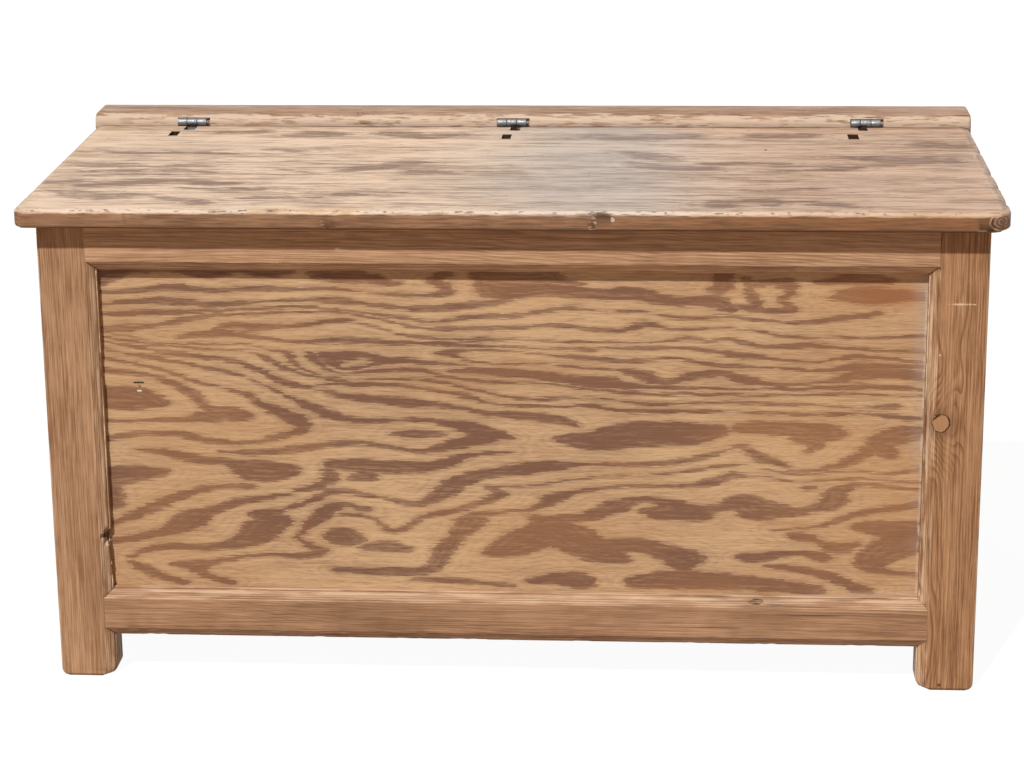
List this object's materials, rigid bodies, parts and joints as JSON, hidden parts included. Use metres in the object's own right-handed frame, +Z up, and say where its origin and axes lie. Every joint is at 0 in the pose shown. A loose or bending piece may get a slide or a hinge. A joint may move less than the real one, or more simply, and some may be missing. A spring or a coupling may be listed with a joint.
{
  "type": "blanket chest",
  "caption": "Joined blanket chest with moulded frames and thin panels on post feet; its flat overhanging lid swings up on butt hinges against a fixed rail at the back.",
  "frame": {"origin": "centre of the footprint, on the floor", "axes": "+X along the length to the right as seen from the front, +Y from the front to the back, +Z up"},
  "size_m": [1.096, 0.512, 0.578],
  "materials": {
    "post_fir": "stripped and oiled straight-grained fir, worn arrises",
    "rail_fir": "stripped and oiled fir, worn arrises",
    "panel_ply": "rotary-cut fir plywood, bold wild grain, satin",
    "lid_fir": "faded, rubbed fir with dry grey streaks",
    "hinge_rail_fir": "rubbed fir, worn nose",
    "inside_pine": "bare pine, unfinished",
    "dowel_birch": "bare birch",
    "hinge_steel": "worn plain steel, bright on the knuckles",
    "pin_steel": "plain steel",
    "screw_steel": "dull steel"
  },
  "bodies": {
    "carcass": {"front_post_left": "post_fir", "front_post_right": "post_fir", "back_post_left": "post_fir", "back_post_right": "post_fir", "front_top_rail": "rail_fir", "front_bottom_rail": "rail_fir", "back_top_rail": "rail_fir", "back_bottom_rail": "rail_fir", "left_top_rail": "rail_fir", "left_bottom_rail": "rail_fir", "right_top_rail": "rail_fir", "right_bottom_rail": "rail_fir", "front_panel": "panel_ply", "back_panel": "panel_ply", "left_panel": "panel_ply", "right_panel": "panel_ply", "front_cleat": "inside_pine", "back_cleat": "inside_pine", "floor_board_1": "inside_pine", "floor_board_2": "inside_pine", "floor_board_3": "inside_pine", "floor_board_4": "inside_pine", "floor_board_5": "inside_pine", "floor_board_6": "inside_pine", "floor_board_7": "inside_pine", "hinge_rail": "hinge_rail_fir", "hinge_rail_dowel_1": "dowel_birch", "hinge_rail_dowel_2": "dowel_birch", "hinge_rail_dowel_3": "dowel_birch", "hinge_rail_dowel_4": "dowel_birch", "hinge_left_rail_leaf": "hinge_steel", "hinge_left_pin": "pin_steel", "hinge_left_rail_screw_1": "screw_steel", "hinge_left_rail_screw_2": "screw_steel", "hinge_middle_rail_leaf": "hinge_steel", "hinge_middle_pin": "pin_steel", "hinge_middle_rail_screw_1": "screw_steel", "hinge_middle_rail_screw_2": "screw_steel", "hinge_right_rail_leaf": "hinge_steel", "hinge_right_pin": "pin_steel", "hinge_right_rail_screw_1": "screw_steel", "hinge_right_rail_screw_2": "screw_steel"},
    "lid": {"lid_board": "lid_fir", "lid_batten_left": "inside_pine", "lid_batten_right": "inside_pine", "batten_left_screw_1": "screw_steel", "batten_left_screw_2": "screw_steel", "batten_right_screw_1": "screw_steel", "batten_right_screw_2": "screw_steel", "hinge_left_lid_leaf": "hinge_steel", "hinge_left_lid_screw_1": "screw_steel", "hinge_left_lid_screw_2": "screw_steel", "hinge_middle_lid_leaf": "hinge_steel", "hinge_middle_lid_screw_1": "screw_steel", "hinge_middle_lid_screw_2": "screw_steel", "hinge_right_lid_leaf": "hinge_steel", "hinge_right_lid_screw_1": "screw_steel", "hinge_right_lid_screw_2": "screw_steel"}
  },
  "joints": [
    {"name": "lid_hinge", "type": "hinge", "parent": "carcass", "child": "lid", "pos_m": [0, 0.194, 0.5678], "axis": [-1, 0, 0], "range_deg": [0, 135]}
  ]
}
